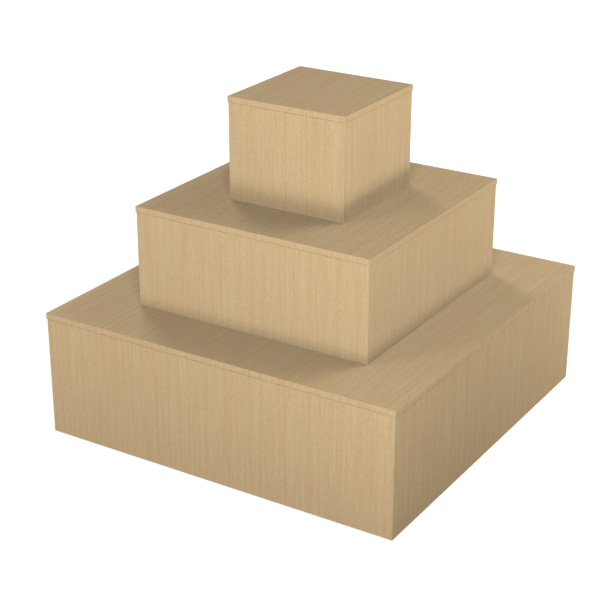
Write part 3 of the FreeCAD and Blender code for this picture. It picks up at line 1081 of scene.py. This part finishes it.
@dataclass
class TopBoard:
    """A tier's top board and the four bands round its edge."""

    tier: str
    body: str
    round_over: float = 0.3 * MM
    rounds: int = 3
    glue_line: float = 0.15 * MM
    filed_depth: float = 0.3 * MM
    filed_height: float = 0.6 * MM

    def board(self) -> None:
        """Dress the board."""
        node = f"{self.tier}_top_panel"
        low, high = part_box(node)
        name = f"{self.tier}_{TOP_LAMINATE.name}"
        coat_node(node, replace(TOP_LAMINATE, name=name, underside=low.z, face=high.z))

    def band(self, name: str, half: float) -> Workpiece:
        """Make the front band.

        Args:
            name: Name of the band.
            half: Half its length.

        Returns:
            The band with its outer arrises eased, dressed.
        """
        low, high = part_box(f"{self.tier}_edge_bands")
        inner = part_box(f"{self.tier}_top_panel")[0].y
        band = Workpiece.block(name, Vector((-half, low.y, low.z)), Vector((half, inner, high.z)))
        self.file(band, low)
        filed_top = low.z + self.filed_height + HAIR

        def outer(middle: Vector) -> bool:
            """Tell whether an edge is an outer one that isn't filed."""
            return middle.y < low.y + HAIR and middle.z > filed_top

        band.ease(self.round_over, self.rounds, outer)
        top_inner = Vector((0, inner, high.z))
        band.ease(self.glue_line, 1, lambda middle: (middle.yz - top_inner.yz).length < HAIR)

        def filed(centre: Vector) -> int:
            """Pick the filed slant's finish, whose dark brown is painted shadow along the band's
            lower edge.
            """
            return int(centre.y < low.y + self.filed_depth and centre.z < filed_top)

        # The filed slant gets the dark finish: painted shadow of the seam under the overhang.
        band.dress([BANDING, FILED_EDGE_PAINTED_SHADOW], filed)
        band.smooth()
        return band

    def file(self, band: Workpiece, low: Vector) -> None:
        """File the band's lower arris to a steep slant.

        Args:
            band: The front band.
            low: Its lowest corner.
        """
        band.ease(self.filed_depth, 1, lambda middle: (middle.yz - low.yz).length < HAIR)
        top = low.z + self.filed_depth + HAIR
        with band.editing(Part.EDGES):
            band.pick(Part.EDGES, lambda edge: all(
                vertex.co.y < low.y + HAIR and vertex.co.z < top for vertex in edge.verts))
            rise = (0, 0, self.filed_height - self.filed_depth)
            bpy.ops.transform.translate(value=rise)

    def bands(self) -> None:
        """Fit the bands: the front and back ones cover the ends of the others."""
        halves = (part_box(f"{self.tier}_edge_bands")[1].x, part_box(f"{self.tier}_top_panel")[1].x)
        for side in Side:
            half = halves[side.value % 2]
            name = f"{self.tier}_{word(side)}_edge_band"
            band = self.band(name, half)
            band.thing.rotation_euler.z = side.value * QUARTER
            band.settle()
            band.install(self.body, "edge_banding", f"{self.tier}_edge_bands")

    def build(self) -> None:
        """Dress the board and band it."""
        self.board()
        self.bands()


@dataclass
class ScrewSet:
    """A tier's wood screws, countersunk and cross-recessed."""

    tier: str
    body: str
    head_radius: float = 4.0 * MM
    head_depth: float = 2.2 * MM
    head_land: float = 0.3 * MM
    recess_reach: float = 2.2 * MM
    recess_half: float = 0.3025 * MM
    recess_depth: float = 1.2 * MM
    core: float = 1.35 * MM
    crest: float = 2.0 * MM
    pitch: float = 1.8 * MM
    point: float = 4.0 * MM
    point_radius: float = 0.2 * MM
    sides: int = 8

    def screw(self, length: float) -> Workpiece:
        """Make one screw at the origin, pointing up from its head.

        Args:
            length: Whole length of the screw.

        Returns:
            The screw.
        """
        origin = Vector((0, 0, 0))
        rings = [(self.head_radius, 0), (self.head_radius, self.head_land),
                 (self.core, self.head_depth), (self.core, self.head_depth + 2 * self.pitch)]
        head = Workpiece.turned("head", origin, rings, 2 * self.sides)
        arms = ((self.recess_reach, self.recess_half), (self.recess_half, self.recess_reach))
        for across, along in arms:
            half = Vector((across, along, self.recess_depth))
            head.cut(Workpiece.block("recess", -half, half))
        start = Vector((0, 0, self.head_depth + self.pitch))
        end = length - self.point
        thread = Workpiece.threaded("thread", start, self.core, self.crest, self.pitch,
                                    end - start.z, self.sides)
        cone = [(self.core, -self.pitch), (self.core, 0), (self.point_radius, self.point)]
        tip = Workpiece.turned("tip", Vector((0, 0, end)), cone, self.sides)
        screw = Workpiece.joined("screw", [head, thread, tip])
        screw.smooth()
        return screw

    def build(self) -> None:
        """Set a screw in each of the tier's places."""
        node = f"{self.tier}_screws"
        masters: dict[int, Workpiece] = {}
        screws = []
        for low, high in solids_of(node):
            size = high - low
            axis = max(range(3), key=lambda number: size[number])
            middle = (low + high) / 2
            outward = 1 if axis == 2 or middle[axis] > 0 else -1
            points = Vector((0, 0, 0))
            points[axis] = outward
            length = size[axis]
            place = middle - points * length / 2
            key = round(length / MM)
            if key not in masters:
                masters[key] = self.screw(length)
            turn = points.to_track_quat("Z", "Y").to_matrix().to_4x4()
            screws.append(masters[key].copy("screw", Matrix.Translation(place) @ turn))
        for master in masters.values():
            bpy.data.objects.remove(master.thing)
        group = Workpiece.joined(f"{self.tier}_wood_screws", screws)
        group.coat(ZINC)
        group.install(self.body, "zinc_plated_steel", node)


@dataclass
class LocatingSet:
    """The pins under a tier and the sockets that they drop into."""

    upper: str
    upper_body: str
    lower: str
    lower_body: str
    lead_in: float = 1.5 * MM
    end_chamfer: float = 1.0 * MM
    flute: float = 0.93
    flute_spacing: int = 4
    flute_margin: float = 3 * MM
    socket_bore: float = 5.4 * MM
    socket_chamfer: float = 0.4 * MM
    sides: int = 48

    def pin(self, low: Vector, high: Vector) -> Workpiece:
        """Make one pin, fluted where it is glued into its post.

        Args:
            low: Lowest corner of its solid.
            high: Its highest corner.

        Returns:
            The pin.
        """
        radius = (high.x - low.x) / 2
        axis = upright_axis(low, high, low.z)
        length = high.z - low.z
        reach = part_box(f"{self.upper}_post_front_left")[0].z - low.z
        tip = radius - self.lead_in
        rings = [(tip, 0), (radius, self.lead_in), (radius, reach),
                 (radius, reach + self.flute_margin), (radius, reach + 2 * self.flute_margin),
                 (radius, length - 2 * self.flute_margin), (radius, length - self.flute_margin),
                 (radius, length - self.end_chamfer), (radius - self.end_chamfer, length)]
        pin = Workpiece.turned("pin", axis, rings, self.sides)
        inset = 1.5 * self.flute_margin
        fluted = (axis.z + reach + inset, high.z - inset)

        def in_flute(vertex: bmesh.types.BMVert) -> bool:
            """Pick the evenly spaced lines of vertices along the fluted stretch.

            Args:
                vertex: A vertex of the pin.

            Returns:
                True for a vertex at the bottom of a flute.
            """
            spoke = vertex.co - axis
            step = math.atan2(spoke.y, spoke.x) / (2 * math.pi) * self.sides
            on_line = round(step) % self.flute_spacing == 0
            return on_line and fluted[0] < vertex.co.z < fluted[1]

        with pin.editing(Part.VERTS):
            pin.pick(Part.VERTS, in_flute)
            shrink = (self.flute, self.flute, 1)
            bpy.ops.transform.resize(value=shrink, center_override=axis)
        return pin

    def socket(self, low: Vector, high: Vector) -> Workpiece:
        """Make one sleeve with a chamfered mouth.

        Args:
            low: Lowest corner of its solid.
            high: Its highest corner.

        Returns:
            The sleeve.
        """
        radius = (high.x - low.x) / 2
        length = high.z - low.z
        bore = self.socket_bore
        edge = self.socket_chamfer
        rings = [(bore, 0), (radius - edge, 0), (radius, edge), (radius, length - HAIR),
                 (bore + edge, length - HAIR), (bore, length - edge)]
        axis = upright_axis(low, high, low.z)
        return Workpiece.turned("socket", axis, rings, self.sides, bored=True)

    def build(self) -> None:
        """Make both groups."""
        fit_group(f"{self.upper}_turned_pins", self.pin, BEECH, self.upper_body, "beech_dowel",
                  f"{self.upper}_locating_pins")
        fit_group(f"{self.lower}_brass_sockets", self.socket, BRASS, self.lower_body,
                  "brass_socket", f"{self.lower}_pin_sockets")


@dataclass
class Leveller:
    """One screw leveller: a pad, and a threaded stem with a hexagon to turn it by."""

    corner: Corner
    pad_rim: float = 3.0 * MM
    pad_soft: float = 0.8 * MM
    pad_trim: float = 0.3
    pad_boss: float = 10.1 * MM
    pocket_radius: float = 6.1 * MM
    pocket_roof: float = 6.1 * MM
    neck_hole: float = 3.6 * MM
    recess: float = 0.6 * MM
    disc_radius: float = 6.0 * MM
    disc_top: float = 6.0 * MM
    neck: float = 3.5 * MM
    hex_flats: float = 13.0 * MM
    hex_bottom: float = 9.6 * MM
    hex_top: float = 13.6 * MM
    crest: float = 4.0 * MM
    core: float = 3.35 * MM
    pitch: float = 1.25 * MM
    lead_in: float = 1.0 * MM
    edge: float = 0.3 * MM
    sides: int = 32

    def pad(self) -> Workpiece:
        """Make the pad: a hollowed foot, a rounded rim and a boss round the pocket.

        Returns:
            The pad.
        """
        low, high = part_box(f"leveller_pad_{word(self.corner)}")
        axis = upright_axis(low, high, 0)
        radius = (high.x - low.x) / 2
        soft = self.pad_soft
        trim = self.pad_trim * soft
        rim, boss, top = self.pad_rim, self.pad_boss, high.z
        rings = [
            (radius - 6 * soft, self.recess), (radius - 5 * soft, self.recess),
            (radius - 4 * soft, 0), (radius - soft, 0), (radius - trim, trim),
            (radius, soft), (radius, rim - soft),
            (radius - trim, rim - trim), (radius - soft, rim + 2 * HAIR),
            (boss + soft, top - 2 * soft), (boss + trim, top - 2 * trim), (boss - soft, top),
            (self.neck_hole + trim, top), (self.neck_hole, top - trim),
            (self.neck_hole, self.pocket_roof), (self.pocket_radius, self.pocket_roof),
            (self.pocket_radius, rim),
        ]
        return Workpiece.turned(f"leveller_pad_moulding_{word(self.corner)}", axis, rings,
                                2 * self.sides)

    def stem(self) -> Workpiece:
        """Make the stem: foot disc, neck, hexagon and thread.

        Returns:
            The stem.
        """
        low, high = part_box(f"leveller_stem_{word(self.corner)}")
        axis = upright_axis(low, high, 0)
        edge = self.edge
        foot = Workpiece.turned("foot", axis, [
            (self.disc_radius - edge, low.z), (self.disc_radius, low.z + edge),
            (self.disc_radius, self.disc_top - edge), (self.disc_radius - edge, self.disc_top),
            (self.neck, self.disc_top), (self.neck, self.hex_bottom + edge)], self.sides)
        corner = self.hex_flats / 2 / math.cos(math.pi / HEXAGON)
        hexagon = Workpiece.turned("hexagon", axis, [
            (corner - edge, self.hex_bottom), (corner, self.hex_bottom + edge),
            (corner, self.hex_top - edge), (corner - edge, self.hex_top)], HEXAGON)
        thread_start = axis + Vector((0, 0, self.hex_top - edge))
        thread_end = high.z - self.lead_in
        thread = Workpiece.threaded("thread", thread_start, self.core, self.crest, self.pitch,
                                    thread_end - thread_start.z, self.sides)
        tip = Workpiece.turned("tip", axis, [
            (self.core, thread_end - self.pitch), (self.core, thread_end),
            (self.core - self.lead_in / 2, high.z)], self.sides)
        pieces = [foot, hexagon, thread, tip]
        return Workpiece.joined(f"leveller_spindle_{word(self.corner)}", pieces)

    def build(self) -> None:
        """Make the pad and the stem."""
        pad = self.pad()
        pad.smooth(ROUNDED)
        pad.coat(NYLON)
        pad_node = f"leveller_pad_{word(self.corner)}"
        pad.install(pad_node, "black_nylon", pad_node)
        stem = self.stem()
        stem.smooth()
        stem.coat(ZINC)
        stem_node = f"leveller_stem_{word(self.corner)}"
        stem.install(stem_node, "zinc_plated_steel", stem_node)


@dataclass
class InsertSet:
    """The flanged inserts in the base posts that the levellers screw into."""

    bore: float = 4.05 * MM
    flange: float = 1.5 * MM
    lip: float = 4.0 * MM
    slot: float = 1.0 * MM
    edge: float = 0.25 * MM
    sides: int = 32

    def insert(self, low: Vector, high: Vector) -> Workpiece:
        """Make one insert with a slot across its flange to drive it by.

        Args:
            low: Lowest corner of its solid.
            high: Its highest corner.

        Returns:
            The insert.
        """
        axis = upright_axis(low, high, low.z)
        wide = (high.x - low.x) / 2
        sleeve = wide - self.lip
        length = high.z - low.z
        rings = [(self.bore + self.edge, 0), (wide - self.edge, 0), (wide, self.edge),
                 (wide, self.flange), (sleeve, self.flange), (sleeve, length - self.edge),
                 (sleeve - self.edge, length), (self.bore, length), (self.bore, self.edge)]
        insert = Workpiece.turned("insert", axis, rings, self.sides, bored=True)
        for end in (-1, 1):
            middle = axis + Vector((end * wide, 0, 0))
            half = Vector((self.lip / 2, self.slot / 2, self.flange / 2))
            insert.cut(Workpiece.block("slot", middle - half, middle + half))
        return insert

    def build(self) -> None:
        """Make the four inserts."""
        fit_group("base_threaded_inserts", self.insert, ZINC, "base", "zinc_plated_steel",
                  "base_leveller_inserts")


@dataclass
class Lamp:
    """One soft rectangular lamp."""

    name: str
    place: Place
    aim: Place
    size: tuple[float, float]
    power: float

    def build(self) -> None:
        """Hang the lamp and aim it."""
        turn = (Vector(self.aim) - Vector(self.place)).to_track_quat("-Z", "Y").to_euler()
        bpy.ops.object.light_add(type="AREA", location=self.place, rotation=turn)
        lamp = bpy.context.object
        lamp.name = self.name
        lamp.data.shape = "RECTANGLE"
        lamp.data.size, lamp.data.size_y = self.size
        lamp.data.energy = self.power
        lamp.visible_camera = False
        log.info("lamp %s: %.0f W", self.name, self.power)


@dataclass
class Studio:
    """A plain pale floor in soft light."""

    reach: float = 3.2
    side: float = 1.8
    ceiling: float = 3.6
    high: float = 2.9
    shelf: float = 1.2
    knee: float = 0.35
    low: float = 0.25
    middle: float = 0.5
    panel: tuple[float, float] = (1.5, 1.0)
    screen: tuple[float, float] = (1.5, 0.9)
    strip: tuple[float, float] = (0.8, 0.2)
    floor_width: float = 60.0
    floor_glow: float = 0.88
    floor_share: float = 0.22
    shadow_reach: float = 2.5
    floor_bounce: float = 0.05
    ambient: float = 0.0

    def lamps(self) -> list[Lamp]:
        """List the lamps: in front, at the right, behind, at the left, above and below.

        Returns:
            The lamps.
        """
        far, side, high, low = self.reach, self.side, self.high, self.low
        shelf, knee, middle = self.shelf, self.knee, self.middle
        centre = (0, 0, middle)
        return [
            Lamp("front_high_left", (-side, -far, high), centre, self.panel, 28),
            Lamp("front_high_right", (side, -far, high), centre, self.panel, 90),
            Lamp("front_low", (side, -far, low), (0, 0, low), (1.5, 0.45), 27),
            Lamp("front_close", (-1.0, -1.6, knee), (-0.3, 0, knee), self.strip, 2),
            Lamp("right_shelf", (2.2, 0.5, shelf), (0, 0.15, shelf), (1.0, 0.3), 5.5),
            Lamp("right_back", (1.6, side, knee), (0, 0.54, knee), self.strip, 12),
            Lamp("back_right", (shelf, far, shelf), centre, self.screen, 25),
            Lamp("left_back", (-far, 2.4, 1.6), centre, self.screen, 105),
            Lamp("left_front", (-far, -shelf, 1.0), centre, self.screen, 30),
            Lamp("ceiling_right", (side, side, self.ceiling), centre, (1.5, 1.5), 44),
            Lamp("floor_panel", (3.0, -2.8, 0.02), (3.0, -2.8, middle), (2.0, 2.0), 140),
            Lamp("underside", (0, 0, -middle), centre, (0.8, 0.8), 12),
        ]

    def seen(self, sheet: NodeSheet) -> bpy.types.NodeSocket:
        """Tell what a ray is for.

        Args:
            sheet: The nodes of the floor or the world.

        Returns:
            1 where a ray shows the background, and 0 where it carries light.
        """
        rays = sheet.add("ShaderNodeLightPath").outputs
        either = sheet.math("MAXIMUM", rays["Is Camera Ray"], rays["Is Glossy Ray"])
        return sheet.math("MAXIMUM", either, rays["Is Transmission Ray"])

    def floor(self) -> None:
        """Lay the floor: white with a faint shadow from above, and clear from beneath."""
        bpy.ops.mesh.primitive_plane_add(size=self.floor_width)
        floor = Workpiece.started("studio_floor").thing
        paint = bpy.data.materials.new("studio_floor")
        paint.use_nodes = True
        sheet = NodeSheet(paint.node_tree)
        sheet.tree.nodes.clear()
        white = (1.0, 1.0, 1.0)
        away = sheet.add("ShaderNodeVectorMath", {0: sheet.place()}, operation="LENGTH")
        strength = sheet.spread(away.outputs["Value"], self.shadow_reach / 2, self.shadow_reach,
                                self.floor_glow, 1.0)
        glow = sheet.add("ShaderNodeEmission", {"Color": white, "Strength": strength})
        lit = sheet.add("ShaderNodeBsdfDiffuse", {"Color": (self.floor_share,) * 3})
        shown = sheet.add("ShaderNodeAddShader", {0: glow.outputs[0], 1: lit.outputs[0]})
        plain = sheet.add("ShaderNodeBsdfDiffuse", {"Color": (self.floor_bounce,) * 3})
        feeds = {0: self.seen(sheet), 1: plain.outputs[0], 2: shown.outputs[0]}
        mixed = sheet.add("ShaderNodeMixShader", feeds)
        back = sheet.add("ShaderNodeNewGeometry").outputs["Backfacing"]
        shadow = sheet.add("ShaderNodeLightPath").outputs["Is Shadow Ray"]
        beneath = sheet.math("MAXIMUM", back, shadow)
        clear = sheet.add("ShaderNodeBsdfTransparent").outputs[0]
        feeds = {0: beneath, 1: mixed.outputs[0], 2: clear}
        one_sided = sheet.add("ShaderNodeMixShader", feeds)
        sheet.add("ShaderNodeOutputMaterial", {"Surface": one_sided.outputs[0]})
        floor.data.materials.append(paint)

    def sky(self) -> None:
        """Make what lies beyond the floor white to look at."""
        world = bpy.data.worlds.new("studio_sky")
        world.use_nodes = True
        bpy.context.scene.world = world
        sheet = NodeSheet(world.node_tree)
        sheet.tree.nodes.clear()
        strength = sheet.spread(self.seen(sheet), 0.0, 1.0, self.ambient, 1.0)
        feeds = {"Color": (1.0, 1.0, 1.0), "Strength": strength}
        sky = sheet.add("ShaderNodeBackground", feeds)
        sheet.add("ShaderNodeOutputWorld", {"Surface": sky.outputs[0]})

    def build(self) -> None:
        """Set the studio up."""
        for lamp in self.lamps():
            lamp.build()
        self.floor()
        self.sky()
        bpy.context.scene.view_settings.view_transform = "Standard"


@dataclass
class Camera:
    """The camera, level from side to side."""

    place: Place = (2.3345, -3.8445, 2.3140)
    azimuth: float = 32.081
    elevation: float = 23.411
    roll: float = 0.020
    lens: float = 92.443
    film: float = 36.0

    def build(self) -> None:
        """Set the camera up."""
        tilt = math.radians(90 - self.elevation)
        turn = (tilt, 0, math.radians(self.azimuth))
        bpy.ops.object.camera_add(location=self.place, rotation=turn)
        camera = bpy.context.object
        camera.name = "camera"
        camera.rotation_euler.rotate_axis("Z", math.radians(self.roll))
        camera.data.lens = self.lens
        camera.data.sensor_width = self.film
        bpy.context.scene.camera = camera


TIERS = (
    ("base", "base", True),
    ("middle", "middle_tier", True),
    ("upper", "upper_tier", False),
)


def main() -> None:
    """Build the table and its studio in order."""
    logging.basicConfig(level=logging.INFO, format="%(name)s: %(message)s")
    Camera().build()
    Studio().build()
    for tier, body, ribbed in TIERS:
        Carcass(tier, body, ribbed).build()
        TopBoard(tier, body).build()
        ScrewSet(tier, body).build()
    LocatingSet("middle", "middle_tier", "base", "base").build()
    LocatingSet("upper", "upper_tier", "middle", "middle_tier").build()
    coat_node("upper_dowels", BEECH)
    InsertSet().build()
    for corner in Corner:
        Leveller(corner).build()


if __name__ == "__main__":
    main()
